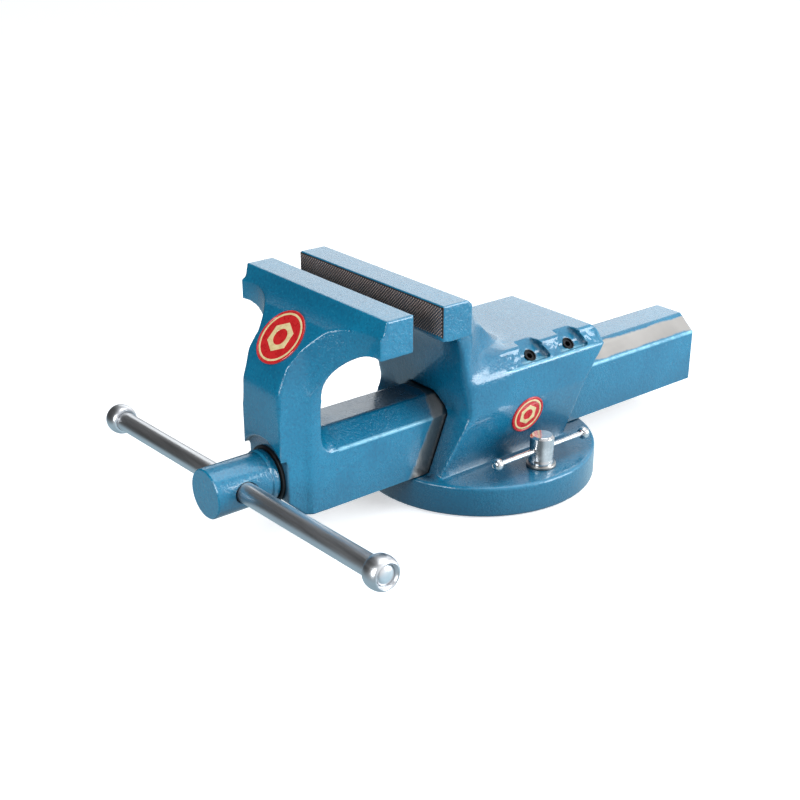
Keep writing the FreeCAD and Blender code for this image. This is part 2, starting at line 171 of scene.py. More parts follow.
def soften_edges(node, width, segments=3, angle=30):
    """Weld the seams of a CAD node and round its edges, with modifiers only."""
    obj = nodes[node]
    weld = obj.modifiers.new("weld", "WELD")
    weld.merge_threshold = WELD_DISTANCE
    add_bevel(obj, width, segments, angle)


def lathe(name, profile, origin, axis, steps=96, smooth_angle=35):
    """Turned piece from (radius, height) points; height runs along axis from origin."""
    bm = bmesh.new()
    turn = Vector((0, 0, 1)).rotation_difference(Vector(axis).normalized()).to_matrix().to_4x4()
    place = Matrix.Translation(origin) @ turn
    rings = []
    for radius, height in profile:
        if radius < 1e-7:
            rings.append([bm.verts.new(place @ Vector((0, 0, height)))])
            continue
        ring = []
        for k in range(steps):
            angle = 2 * math.pi * k / steps
            spot = Vector((radius * math.cos(angle), radius * math.sin(angle), height))
            ring.append(bm.verts.new(place @ spot))
        rings.append(ring)
    join_rings(bm, rings, steps)
    return make_object(name, bm, smooth_angle)


def join_rings(bm, rings, steps):
    for a, b in zip(rings, rings[1:]):
        for k in range(steps):
            j = (k + 1) % steps
            if len(a) == 1:
                bm.faces.new((a[0], b[k], b[j]))
            elif len(b) == 1:
                bm.faces.new((a[k], a[j], b[0]))
            else:
                bm.faces.new((a[k], a[j], b[j], b[k]))


def closed_lathe(name, section, origin, axis, steps=96, smooth_angle=35):
    """Turned ring: the section closes on its first point."""
    return lathe(name, list(section) + [section[0]], origin, axis, steps, smooth_angle)


# ------------------------------------------------------------------ forged castings

def neighbour_mean(points, edges, count):
    total = np.empty_like(points)
    for axis in range(3):
        ahead = np.bincount(edges[:, 0], points[edges[:, 1], axis], len(points))
        behind = np.bincount(edges[:, 1], points[edges[:, 0], axis], len(points))
        total[:, axis] = ahead + behind
    return total / count[:, None]


def read_points(mesh, attribute="co"):
    values = np.empty(len(mesh.vertices) * 3)
    mesh.vertices.foreach_get(attribute, values)
    return values.reshape(-1, 3)


def read_edges(mesh):
    edges = np.empty(len(mesh.edges) * 2, dtype=np.int32)
    mesh.edges.foreach_get("vertices", edges)
    return edges.reshape(-1, 2)


def write_points(mesh, points):
    mesh.vertices.foreach_set("co", points.ravel())
    mesh.update()


def fill_corners(mesh, rounds, may_fill):
    """Grow the inside corners of a dense mesh into fillets; outside edges stay as they are."""
    edges = read_edges(mesh)
    points = read_points(mesh)
    count = np.bincount(edges.ravel(), minlength=len(points))
    allowed = may_fill(points[:, 0], points[:, 1], points[:, 2])
    normals = read_points(mesh, "normal")
    for step in range(rounds):
        shift = neighbour_mean(points, edges, count) - points
        outward = np.clip((shift * normals).sum(axis=1), 0, None) * allowed
        points += normals * outward[:, None] * CORNER_SPEED
        if step % NORMALS_EVERY == NORMALS_EVERY - 1:
            write_points(mesh, points)
            normals = read_points(mesh, "normal")
    write_points(mesh, points)


def press_waves(mesh, depth_at):
    """Sink the surface by small uneven amounts, as a forging has."""
    points = read_points(mesh)
    normals = read_points(mesh, "normal")
    sink = np.array([depth_at(Vector(point)) for point in points])
    write_points(mesh, points - normals * sink[:, None])


def relax(mesh, rounds, region):
    """Smooth part of a dense mesh, so that a crease there becomes a soft bend."""
    edges = read_edges(mesh)
    points = read_points(mesh)
    count = np.bincount(edges.ravel(), minlength=len(points))
    weight = region(points[:, 0], points[:, 1], points[:, 2])[:, None] * 0.5
    for _ in range(rounds):
        points += (neighbour_mean(points, edges, count) - points) * weight
    write_points(mesh, points)


def forged_copy(node, name, add_solids, voxel, corner_rounds, may_fill, crease, depth_at):
    """Copy of a CAD node with the rolled edges and filled corners of a forging.

    add_solids puts in what is welded or painted over in one with the casting. may_fill and crease give
    1 where corners grow into fillets and where bends are softened, and depth_at how far a point sinks."""
    bm = bmesh.new()
    bm.from_mesh(nodes[node].data)
    bmesh.ops.remove_doubles(bm, verts=bm.verts, dist=WELD_DISTANCE)
    add_solids(bm)
    obj = make_object(name, bm)
    remesh = obj.modifiers.new("remesh", "REMESH")
    remesh.mode = "VOXEL"
    remesh.voxel_size = voxel
    smooth = obj.modifiers.new("smooth", "SMOOTH")
    smooth.factor = 0.5
    smooth.iterations = 4
    apply_modifiers(obj)
    relax(obj.data, CREASE_ROUNDS, crease)
    fill_corners(obj.data, corner_rounds, may_fill)
    press_waves(obj.data, depth_at)
    decimate = obj.modifiers.new("decimate", "DECIMATE")
    decimate.ratio = KEEP_RATIO
    apply_modifiers(obj)
    obj.data.shade_smooth()
    return obj


def body_may_fill(x, y, z):
    """Outside of the housing and the top of the disc; not the tunnel, the notches or the plate's seat."""
    tunnel = (abs(x) < BAR_HALF + 4 * MM) & (z < BAR_TOP + 4 * MM)
    notches = (x > 30 * MM) & (z > 85 * MM) & (y > -6 * MM)
    plate_seat = (y < -88 * MM) & (z > 130 * MM)
    return (z > DISC_TOP - 1 * MM) & ~tunnel & ~notches & ~plate_seat


def ripple_depth(point):
    """Broad ripples, as on the front jaw."""
    return RIPPLE_DEPTH * (0.5 + 0.5 * noise.noise(point * RIPPLE_SCALE))


def body_depth(point):
    """Broad ripples everywhere, and a rough skin on the bevel of the gib screws."""
    depth = ripple_depth(point)
    in_height = 93 * MM < point.z < 101.5 * MM
    on_bevel = in_height and point.x > 41.5 * MM and -20 * MM < point.y < 70 * MM
    if on_bevel:
        lumps = noise.noise(point * 110) + 0.5 * noise.noise(point * 330)
        depth += 0.65 * MM + 1.3 * MM * max(0.0, lumps)
    return depth


def fade(value, low, high, soft):
    """1 well between low and high, falling to 0 at both."""
    return np.clip((value - low) / soft, 0, 1) * np.clip((high - value) / soft, 0, 1)


def body_crease(x, y, z):
    """Where the buttress of the rear jaw runs down into the side of the housing."""
    outside = np.clip((abs(x) - BAR_HALF - 8 * MM) / (5 * MM), 0, 1)
    below_bevel = np.maximum(fade(z, 58 * MM, 90 * MM, 8 * MM), fade(y, -70 * MM, -14 * MM, 8 * MM))
    return outside * below_bevel * fade(z, 58 * MM, 138 * MM, 8 * MM) * fade(y, -66 * MM, 4 * MM, 8 * MM)


def jaw_crease(x, y, z):
    """The bends of the neck's front face."""
    front = fade(z, 90 * MM, 130 * MM, 14 * MM) * np.clip((-158 * MM - y) / (8 * MM), 0, 1)
    side = fade(z, 26 * MM, 100 * MM, 8 * MM) * fade(y, -176 * MM, -151 * MM, 8 * MM)
    return np.maximum(front, side * (abs(x) > 17 * MM))


def add_box(bm, low, high):
    cube = bmesh.ops.create_cube(bm, size=1.0)["verts"]
    for vert in cube:
        vert.co = Vector([(low[i] + high[i]) / 2 + vert.co[i] * (high[i] - low[i]) for i in range(3)])


def add_plate_back(bm, node, front):
    """The jaw plate's painted back, a little short of its working face. front is 1 or -1."""
    low, high = (Vector(corner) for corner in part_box(node))
    if front > 0:
        high.y -= PLATE_BACK_INSET
        low.y -= PLATE_BACK_LAP
    else:
        low.y += PLATE_BACK_INSET
        high.y += PLATE_BACK_LAP
    low.z -= PLATE_BACK_LAP
    add_box(bm, low, high)


def add_loops(bm, loops):
    """Closed tube through loops of points, with a face at each end."""
    rings = [[bm.verts.new(point) for point in loop] for loop in loops]
    for a, b in zip(rings, rings[1:]):
        for k in range(len(a)):
            j = (k + 1) % len(a)
            bm.faces.new((a[k], a[j], b[j], b[k]))
    bm.faces.new(rings[0])
    bm.faces.new(rings[-1])


def add_bar_root(bm):
    """Short sleeve over the bar, where it is welded flush to the neck, with its channel left open."""
    half = BAR_HALF + SLEEVE_GROWTH
    bottom = BAR_BOTTOM - SLEEVE_GROWTH
    top = BAR_TOP + SLEEVE_GROWTH
    right = [(CHANNEL_HALF, bottom), (half, bottom), (half, BAR_SHOULDER), (BAR_FLAT_HALF, top)]
    left = [(-x, z) for x, z in reversed(right)]
    section = right + left + [(-CHANNEL_HALF, CHANNEL_CEILING), (CHANNEL_HALF, CHANNEL_CEILING)]
    loops = []
    for y in (NECK_REAR_Y - SLEEVE_LAP, NECK_REAR_Y + SLEEVE_LENGTH):
        loops.append([(x, y, z) for x, z in section])
    add_loops(bm, loops)


def add_jaw_solids(bm):
    add_plate_back(bm, "front_jaw_plate", 1)
    add_bar_root(bm)
    add_neck_fillet(bm)


def add_body_solids(bm):
    add_plate_back(bm, "rear_jaw_plate", -1)


def jaw_may_fill(x, y, z):
    """Everywhere but the spindle bore, the spot face and the seat of the jaw plate."""
    from_spindle = np.hypot(x, z - SPINDLE_Z)
    plate_seat = (y > -128 * MM) & (z > 139 * MM)
    return (from_spindle > SPOT_FACE_RADIUS + 2 * MM) & ~plate_seat


def add_neck_fillet(bm):
    """Concave fillet between the neck's rear face and the top of the slide bar."""
    run = BAR_HALF - BAR_FLAT_HALF
    rise = BAR_TOP - BAR_SHOULDER
    across = rise / math.hypot(run, rise)
    upward = run / math.hypot(run, rise)
    lean = across / (1 + upward)
    path = [((BAR_HALF, BAR_SHOULDER), (0.0, 1 / upward)), ((BAR_FLAT_HALF, BAR_TOP), (lean, 1.0)),
            ((-BAR_FLAT_HALF, BAR_TOP), (-lean, 1.0)), ((-BAR_HALF, BAR_SHOULDER), (0.0, 1 / upward))]
    section = []
    for k in range(9):
        angle = math.radians(90 * k / 8)
        section.append((NECK_FILLET * (1 - math.sin(angle)), NECK_FILLET * (1 - math.cos(angle))))
    section += [(-0.5 * MM, NECK_FILLET), (-0.5 * MM, -0.8 * MM), (NECK_FILLET, -0.8 * MM)]
    loops = []
    for (x, z), (dx, dz) in path:
        loops.append([(x + dx * out, NECK_REAR_Y + along, z + dz * out) for out, along in section])
    add_loops(bm, loops)


# ------------------------------------------------------------------ small pieces

def knurled_face(node, name, front):
    """Working face of a jaw plate: rows of small pyramids, offset row by row."""
    low, high = (Vector(corner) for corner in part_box(node))
    face = high.y if front > 0 else low.y
    columns = int((high.x - low.x - 2 * KNURL_MARGIN) / KNURL_PITCH)
    rows = int((high.z - low.z - 2 * KNURL_MARGIN) / KNURL_PITCH)
    start = Vector(((low.x + high.x - columns * KNURL_PITCH) / 2, face,
                    (low.z + high.z - rows * KNURL_PITCH) / 2))
    bm = bmesh.new()
    grid = []
    for row in range(rows + 1):
        line = []
        for column in range(columns + 1):
            rim = row in (0, rows) or column in (0, columns)
            peak = (row + column) % 2 == 0 and not rim
            inset = 0.0 if peak else KNURL_DEPTH
            spot = start + Vector((column * KNURL_PITCH, -front * inset, row * KNURL_PITCH))
            line.append(bm.verts.new(spot))
        grid.append(line)
    for row in range(rows):
        for column in range(columns):
            a, b = grid[row][column], grid[row][column + 1]
            c, d = grid[row + 1][column + 1], grid[row + 1][column]
            if (row + column) % 2 == 0:
                bm.faces.new((a, b, d))
                bm.faces.new((b, c, d))
            else:
                bm.faces.new((a, b, c))
                bm.faces.new((a, c, d))
    rim = [edge for edge in bm.edges if edge.is_boundary]
    grown = bmesh.ops.extrude_edge_only(bm, edges=rim)["geom"]
    for item in grown:
        if isinstance(item, bmesh.types.BMVert):
            item.co.y = face - front * KNURL_THICKNESS
    back = [edge for edge in bm.edges if edge.is_boundary]
    bmesh.ops.holes_fill(bm, edges=back)
    return make_object(name, bm, 20)


def hex_ring(name, centre, axis, up, outer, inner, low, high):
    """Hexagon with a round hole, standing from low to high along axis, with small bevels on top."""
    normal = Vector(axis).normalized()
    right = Vector(up).cross(normal).normalized()
    upright = normal.cross(right)
    steps = 48
    bm = bmesh.new()
    loops = []
    edge = 0.12 * MM
    for radius_kind, height in (("hole", low), ("hex", low), ("hex", high - edge), ("hex_in", high),
                                ("hole_out", high), ("hole", high - edge)):
        loop = []
        for k in range(steps):
            angle = 2 * math.pi * k / steps
            within = (angle + math.pi / 6) % (math.pi / 3) - math.pi / 6
            hexagon = outer * math.cos(math.pi / 6) / math.cos(within)
            radii = {"hole": inner, "hole_out": inner + edge, "hex": hexagon, "hex_in": hexagon - edge}
            radius = radii[radius_kind]
            flat = right * (radius * math.cos(angle)) + upright * (radius * math.sin(angle))
            loop.append(bm.verts.new(centre + flat + normal * height))
        loops.append(loop)
    for a, b in zip(loops, loops[1:] + loops[:1]):
        for k in range(steps):
            j = (k + 1) % steps
            bm.faces.new((a[k], a[j], b[j], b[k]))
    return make_object(name, bm, 30)


def badge(node, body, place):
    """Round enamel badge with a raised rim, an inlaid ring and a plain hexagon nut."""
    centre, normal, r = place["centre"], place["normal"], place["radius"]
    disc = [(0, -0.3), (r, -0.3), (r, 0.55), (r - 0.25, 0.75), (r - 1.0, 0.75), (r - 1.25, 0.5),
            (r * 0.45, 0.56), (0, 0.58)]
    field = lathe(node + "_field", [(a * MM, b * MM) for a, b in disc], centre, normal)
    inlay = [(r - 1.9, 0.3), (r - 1.9, 0.64), (r - 2.05, 0.72),
             (r - 3.15, 0.72), (r - 3.3, 0.64), (r - 3.3, 0.3)]
    ring = closed_lathe(node + "_ring", [(a * MM, b * MM) for a, b in inlay], centre, normal)
    outer, inner = 0.56 * r * MM, 0.30 * r * MM
    nut = hex_ring(node + "_nut", centre, normal, (0, 0, 1), outer, inner, 0.3 * MM, 0.76 * MM)
    finish(field, RED, body, "badge_enamel", node)
    finish(ring, GOLD, body, "badge_enamel", node)
    finish(nut, GOLD, body, "badge_enamel", node)


def handle():
    """Handle bar with rounded, riveted ends inside two ring knobs."""
    end = [(0, 6.1), (2.6, 6.0), (4.6, 5.5), (5.9, 4.6), (6.5, 3.4), (6.75, 2.0)]
    half = HANDLE_HALF / MM
    profile = [(radius, -half - height) for radius, height in end]
    for k in range(41):
        profile.append((HANDLE_RADIUS / MM, -half + 2 * half * k / 40))
    profile += [(radius, half + height) for radius, height in reversed(end)]
    bar = lathe("handle_rod", [(a * MM, b * MM) for a, b in profile], HANDLE_CENTRE, HANDLE_AXIS, 64)
    finish(bar, CHROME, "handle", "bright_zinc", "handle_bar")
    ring = [(6.8, 4.2), (7.25, 5.9), (7.9, 6.4), (8.7, 6.1), (9.5, 5.0), (10.2, 3.0), (10.48, 0.8),
            (10.48, -0.8), (10.2, -3.0), (9.6, -4.6), (8.8, -5.8), (8.0, -6.4), (7.3, -6.5),
            (6.85, -6.1), (6.5, -5.0), (6.5, 4.2)]
    section = [(a * MM, b * MM) for a, b in ring]
    for side, node in ((-1, "left_handle_knob"), (1, "right_handle_knob")):
        centre = HANDLE_CENTRE + HANDLE_AXIS * (side * HANDLE_HALF)
        knob = closed_lathe(node + "_ring", section, centre, HANDLE_AXIS * side, 72, 50)
        finish(knob, CHROME, "handle", "bright_zinc", node)


def screw_mouth_shades():
    """Dark rims where the gib screws' holes open into the notches:
    black rings that stand in for the shade in the holes' mouths.
    """
    rim = [(3.7, -0.9), (3.7, 0.0), (3.9, 0.2), (4.25, 0.25), (4.5, 0.1), (4.6, -0.3), (4.6, -0.9)]
    section = [(a * MM, b * MM) for a, b in rim]
    for number, place in enumerate(GIB_SCREW_MOUTHS):
        mouth = closed_lathe("gib_screw_shade_rim_%d" % (number + 1), section, place, GIB_SCREW_AXIS, 48)
        finish(mouth, BLACK, "body", "black_steel")


def tommy_knobs(side, node):
    """Ball ends of a tommy bar, each with a flat riveted face."""
    ball = [(0, -3.4), (2.4, -3.4), (3.3, -2.9), (4.0, -1.8), (4.35, -0.4), (4.35, 0.7),
            (3.95, 1.9), (3.2, 2.9), (2.3, 3.4), (1.9, 3.45), (1.7, 3.1), (0, 3.1)]
    low, high = (Vector(corner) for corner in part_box(node))
    centre = (low + high) / 2
    reach = (high.y - low.y) / 2 - 3.45 * MM
    for end, name in ((-1, "_front"), (1, "_rear")):
        place = centre + Vector((0, end * reach, 0))
        knob = lathe(node + name, [(a * MM, b * MM) for a, b in ball], place, (0, end, 0), 48, 40)
        finish(knob, ZINC, side + "_tommy", "bright_zinc", node)


# ------------------------------------------------------------------ node materials

class Graph:
    """Small helper to write a node tree as a chain of calls. place is what the textures are mapped to."""

    def __init__(self, tree, mapped_to):
        self.tree = tree
        self.place = self.node("ShaderNodeTexCoord").outputs[mapped_to]

    def node(self, kind, **values):
        made = self.tree.nodes.new(kind)
        for key, value in values.items():
            setattr(made, key, value)
        return made

    def link(self, source, target):
        self.tree.links.new(source, target)

    def fill(self, socket, value):
        """A number, a colour or another node's output."""
        if isinstance(value, tuple):
            socket.default_value = value + (1.0,)
        elif isinstance(value, (int, float)):
            socket.default_value = value
        else:
            self.link(value, socket)

    def stretch(self, scale):
        mapping = self.node("ShaderNodeMapping")
        mapping.inputs["Scale"].default_value = scale
        self.link(self.place, mapping.inputs["Vector"])
        return mapping.outputs["Vector"]

    def noise(self, scale, detail=2.0, rough=0.5, vector=None):
        made = self.node("ShaderNodeTexNoise")
        made.inputs["Scale"].default_value = scale
        made.inputs["Detail"].default_value = detail
        made.inputs["Roughness"].default_value = rough
        self.link(vector or self.place, made.inputs["Vector"])
        return made.outputs["Fac"]

    def ramp(self, value, low, high, to_low=0.0, to_high=1.0, kind="SMOOTHSTEP"):
        made = self.node("ShaderNodeMapRange", interpolation_type=kind)
        for key, number in (("From Min", low), ("From Max", high), ("To Min", to_low), ("To Max", to_high)):
            made.inputs[key].default_value = number
        self.link(value, made.inputs["Value"])
        return made.outputs["Result"]

    def band(self, value, low, high, soft):
        """1 between low and high, fading over soft on each side."""
        return self.math("MULTIPLY", self.ramp(value, low - soft, low + soft),
                         self.ramp(value, high - soft, high + soft, 1.0, 0.0))

    def math(self, operation, a, b=0.0):
        made = self.node("ShaderNodeMath", operation=operation)
        for socket, value in zip(made.inputs, (a, b)):
            self.fill(socket, value)
        return made.outputs[0]

    def times(self, *values):
        product = values[0]
        for value in values[1:]:
            product = self.math("MULTIPLY", product, value)
        return product

    def mix(self, factor, a, b):
        made = self.node("ShaderNodeMix", data_type="RGBA")
        for socket, value in zip((MIX_FACTOR,) + MIX_COLOURS, (factor, a, b)):
            self.fill(made.inputs[socket], value)
        return made.outputs[MIX_COLOUR_OUT]

    def split(self):
        made = self.node("ShaderNodeSeparateXYZ")
        self.link(self.place, made.inputs[0])
        return made.outputs

    def dot(self, a, b):
        made = self.node("ShaderNodeVectorMath", operation="DOT_PRODUCT")
        self.link(a, made.inputs[0])
        if isinstance(b, Vector):
            made.inputs[1].default_value = b
        else:
            self.link(b, made.inputs[1])
        return made.outputs["Value"]


class Shader(Graph):
    """Node material with a Principled shader."""

    def __init__(self, name):
        self.material = bpy.data.materials.new(name)
        self.material.use_nodes = True
        super().__init__(self.material.node_tree, "Object")
        self.bsdf = self.tree.nodes["Principled BSDF"]

    def outside_edges(self, radius):
        """1 on outside edges, 0 elsewhere, from the angle between plain and rounded normals."""
        bevel = self.node("ShaderNodeBevel", samples=6)
        bevel.inputs["Radius"].default_value = radius
        plain = self.node("ShaderNodeNewGeometry")
        return self.ramp(self.dot(bevel.outputs[0], plain.outputs["Normal"]), 0.985, 0.86)

    def painted_corner_shade(self, distance, most):
        """Painted shade: 0 in the open, rising to most in recesses, from ambient occlusion."""
        made = self.node("ShaderNodeAmbientOcclusion", samples=8)
        made.inputs["Distance"].default_value = distance
        return self.ramp(made.outputs["AO"], 0.25, 0.92, most, 0.0)

    def bump(self, height, distance, strength=1.0, under=None):
        made = self.node("ShaderNodeBump")
        made.inputs["Distance"].default_value = distance
        made.inputs["Strength"].default_value = strength
        self.link(height, made.inputs["Height"])
        if under is not None:
            self.link(under, made.inputs["Normal"])
        return made.outputs[0]

    def blend_normals(self, factor, a, b):
        made = self.node("ShaderNodeMix", data_type="VECTOR")
        for socket, value in zip((MIX_FACTOR,) + MIX_VECTORS, (factor, a, b)):
            self.fill(made.inputs[socket], value)
        return made.outputs[MIX_VECTOR_OUT]

    def set(self, **values):
        for key, value in values.items():
            self.fill(self.bsdf.inputs[key.replace("_", " ")], value)


def enamel(name, bare=None, highlit=None, gloss=(0.17, 0.25)):
    """Thick blue stoving enamel over a forged skin.

    bare gives 1 where the steel is unpainted, highlit gives 1 along lips that get a painted highlight,
    and gloss is the least and most roughness of the paint."""
    s = Shader(name)
    clouds = s.noise(16.0, 3.0, 0.55)
    speckle = s.noise(1100.0, 2.0, 0.6)
    grain = s.noise(620.0, 2.0, 0.6)
    paint = s.mix(s.ramp(clouds, 0.3, 0.7), DEEP_BLUE, MID_BLUE)
    paint = s.mix(s.ramp(grain, 0.30, 0.52, 0.42, 0.0), paint, SHADE_BLUE)
    # Outside edges are painted lighter in patches: a painted highlight
    edge_highlight = s.times(s.outside_edges(1.4 * MM), s.ramp(s.noise(90.0, 3.0), 0.3, 0.7, 0.35, 0.85))
    paint = s.mix(edge_highlight, paint, EDGE_BLUE)
    if highlit is not None:
        # Lips are painted lighter in patches: a painted highlight
        patches = s.ramp(s.noise(120.0, 3.0), 0.3, 0.6, 0.35, 0.9)
        paint = s.mix(s.times(highlit(s), patches), paint, LIP_HIGHLIGHT_BLUE)
    paint = s.mix(s.ramp(grain, 0.58, 0.74, 0.0, 0.25), paint, EDGE_BLUE)
    # Recesses are painted darker from ambient occlusion: painted shade, on the paint and on the bare steel
    painted_shade = s.painted_corner_shade(80 * MM, 0.9)
    paint = s.mix(painted_shade, paint, PAINTED_SHADE_BLUE)
    rough = s.math("ADD", s.ramp(clouds, 0.3, 0.7, *gloss), s.times(speckle, 0.08))
    ripple = s.bump(s.noise(150.0, 2.0, 0.5), 0.0008, 0.4)
    peel = s.bump(grain, 0.0007, 0.6, ripple)
    if bare is None:
        s.set(Base_Color=paint, Roughness=rough, Normal=peel)
    else:
        mask = bare(s)
        lines = s.noise(420.0, 4.0, 0.6, s.stretch((1.0, 0.05, 1.0)))
        steel = s.mix(s.ramp(s.noise(30.0, 3.0, 0.5), 0.2, 0.8), WORN_STEEL, GROUND_STEEL)
        steel_rough = s.math("ADD", s.times(lines, 0.16), 0.26)
        smooth_peel = s.bump(grain, 0.0001, 0.4)
        s.set(Base_Color=s.mix(mask, paint, s.mix(painted_shade, steel, PAINTED_SHADE_STEEL)), Metallic=mask)
        painted = s.math("SUBTRACT", 1.0, mask)
        s.set(Roughness=s.math("ADD", s.times(rough, painted), s.times(steel_rough, mask)))
        s.set(Normal=s.blend_normals(mask, peel, s.bump(lines, 0.00005, 0.5, smooth_peel)))
    s.set(Specular_IOR_Level=0.5, Coat_Weight=0.8, Coat_Roughness=0.12)
    return s.material


def bar_bare(s):
    """Bare steel of the slide bar: in the housing, along the gib's chamfer, and scuffs in the throat."""
    x, y, z = s.split()
    ragged = s.times(s.math("SUBTRACT", s.noise(70.0, 4.0, 0.6), 0.5), 9 * MM)
    slant = s.times(s.math("SUBTRACT", 61.7 * MM, z), -0.514)
    edge = s.math("ADD", s.math("ADD", slant, -66.0 * MM), ragged)
    inside = s.times(s.ramp(s.math("SUBTRACT", y, edge), -1 * MM, 2.5 * MM),
                     s.ramp(y, 50 * MM, 54 * MM, 1.0, 0.0))
    wobble = s.times(s.math("SUBTRACT", s.noise(45.0, 4.0, 0.6), 0.5), 5 * MM)
    track = s.times(s.band(s.math("ADD", x, wobble), 14.6 * MM, 24.6 * MM, 0.7 * MM),
                    s.ramp(z, 61.5 * MM, 63 * MM), s.ramp(y, -60 * MM, -55 * MM),
                    s.ramp(y, BAR_END_Y - 2 * MM, BAR_END_Y - 0.5 * MM, 1.0, 0.0))
    throat = s.times(s.ramp(z, 74.2 * MM, 74.6 * MM), s.ramp(y, -70 * MM, -62 * MM, 1.0, 0.0),
                     s.ramp(s.noise(50.0, 3.0, 0.6), 0.3, 0.6, 0.05, 0.45))
    return s.math("MAXIMUM", s.math("MAXIMUM", inside, track), throat)


def bar_edge_highlight(s):
    """The lower edges of the bar's chamfers, which get a painted highlight."""
    x, _, z = s.split()
    side = s.ramp(s.math("ABSOLUTE", x), BAR_HALF - 1.8 * MM, BAR_HALF - 1.0 * MM)
    return s.times(s.band(z, BAR_SHOULDER - 1.3 * MM, BAR_SHOULDER + 0.9 * MM, 0.5 * MM), side)


def body_lip_highlight(s):
    """The lip under the rough bevel that carries the gib screws, which gets a painted highlight."""
    x, y, z = s.split()
    wobble = s.times(s.math("SUBTRACT", s.noise(60.0, 2.0), 0.5), 1.2 * MM)
    lip = s.band(s.math("ADD", z, wobble), 91.9 * MM, 92.7 * MM, 0.35 * MM)
    return s.times(lip, s.ramp(x, 38 * MM, 40 * MM), s.band(y, -22 * MM, 66 * MM, 4 * MM))


def spindle_bare(s):
    y = s.split()[1]
    return s.ramp(y, HEAD_REAR_Y - 0.4 * MM, HEAD_REAR_Y)


def jaw_bare(s):
    """The spot face round the spindle, where a little steel shows through the paint."""
    x, y, z = s.split()
    rise = s.math("SUBTRACT", z, SPINDLE_Z)
    away = s.math("SQRT", s.math("ADD", s.times(x, x), s.times(rise, rise)))
    floor = s.ramp(s.math("ABSOLUTE", s.math("SUBTRACT", y, SPOT_FACE_Y)), 0.5 * MM, 0.9 * MM, 1.0, 0.0)
    return s.times(floor, s.ramp(away, SPOT_FACE_RADIUS - 0.6 * MM, SPOT_FACE_RADIUS, 1.0, 0.0), 0.1)


def chrome():
    s = Shader("chrome")
    clouds = s.noise(60.0, 3.0, 0.6, s.stretch((0.12, 1.0, 1.0)))
    streaks = s.noise(260.0, 4.0, 0.6, s.stretch((0.03, 1.0, 1.0)))
    scratches = s.noise(900.0, 2.0, 0.5)
    colour = s.mix(s.ramp(clouds, 0.3, 0.75), (0.64, 0.645, 0.665), (0.82, 0.82, 0.825))
    colour = s.mix(s.ramp(streaks, 0.55, 0.75, 0.0, 0.3), colour, (0.42, 0.42, 0.425))
    s.set(Base_Color=colour, Metallic=1.0)
    s.set(Roughness=s.math("ADD", s.ramp(streaks, 0.3, 0.7, 0.25, 0.38), s.times(scratches, 0.06)))
    s.set(Normal=s.bump(scratches, 0.00002, 0.3, s.bump(streaks, 0.00005, 0.5)))
    return s.material


def bright_zinc():
    s = Shader("bright_zinc")
    clouds = s.noise(110.0, 3.0, 0.6)
    fine = s.noise(800.0, 3.0, 0.6)
    colour = s.mix(s.ramp(clouds, 0.35, 0.7), (0.60, 0.60, 0.61), (0.82, 0.815, 0.81))
    # Outside edges are painted near white: a painted highlight
    colour = s.mix(s.times(s.outside_edges(0.4 * MM), 0.4), colour, (0.95, 0.95, 0.95))
    s.set(Base_Color=colour, Metallic=1.0)
    s.set(Roughness=s.math("ADD", s.ramp(clouds, 0.3, 0.7, 0.12, 0.22), s.times(fine, 0.06)))
    s.set(Normal=s.bump(fine, 0.00002, 0.4))
    return s.material


def machined_steel():
    s = Shader("machined_steel")
    clouds = s.noise(55.0, 3.0, 0.6)
    lines = s.noise(500.0, 4.0, 0.6, s.stretch((1.0, 0.03, 1.0)))
    colour = s.mix(s.ramp(clouds, 0.35, 0.7), DARK_STEEL, PALE_STEEL)
    # Outside edges are painted lighter: a painted highlight
    colour = s.mix(s.times(s.outside_edges(0.5 * MM), 0.5), colour, (0.75, 0.74, 0.72))
    s.set(Base_Color=colour, Metallic=1.0)
    s.set(Roughness=s.math("ADD", s.ramp(clouds, 0.3, 0.7, 0.28, 0.42), s.times(lines, 0.1)))
    s.set(Normal=s.bump(lines, 0.00008, 0.6))
    return s.material


def cast_iron():
    s = Shader("cast_iron")
    sand = s.noise(700.0, 4.0, 0.65)
    clouds = s.noise(40.0, 3.0, 0.6)
    colour = s.mix(s.ramp(clouds, 0.3, 0.7), (0.045, 0.045, 0.048), (0.11, 0.105, 0.10))
    s.set(Base_Color=colour, Metallic=0.7)
    s.set(Roughness=s.ramp(sand, 0.3, 0.7, 0.5, 0.7), Normal=s.bump(sand, 0.0002, 0.6))
    return s.material


def knurled_steel():
    s = Shader("knurled_steel")
    y = s.split()[1]
    grit = s.noise(1300.0, 2.0, 0.6)
    faces = []
    for node in ("rear_jaw_plate", "front_jaw_plate"):
        low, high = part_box(node)
        face = low[1] if node.startswith("rear") else high[1]
        away = s.math("ABSOLUTE", s.math("SUBTRACT", y, face))
        faces.append(s.ramp(away, 0.12 * MM, 0.60 * MM, 1.0, 0.0))
    peak = s.math("MAXIMUM", *faces)
    # Grooves are coloured dark and peaks light, by distance from the face plane
    groove_tone = s.ramp(s.noise(45.0, 4.0, 0.6), 0.3, 0.7)
    groove = s.mix(groove_tone, (0.022, 0.014, 0.012), (0.050, 0.032, 0.027))
    s.set(Base_Color=s.mix(peak, groove, (0.40, 0.31, 0.28)), Metallic=0.5)
    s.set(Roughness=s.ramp(grit, 0.3, 0.7, 0.42, 0.6), Normal=s.bump(grit, 0.00004, 0.5))
    return s.material


def black_steel():
    s = Shader("black_steel")
    clouds = s.noise(200.0, 3.0, 0.6)
    s.set(Base_Color=s.mix(clouds, (0.008, 0.008, 0.009), (0.035, 0.035, 0.038)), Metallic=0.7)
    s.set(Roughness=s.ramp(clouds, 0.3, 0.7, 0.38, 0.55), Normal=s.bump(clouds, 0.00005, 0.4))
    return s.material


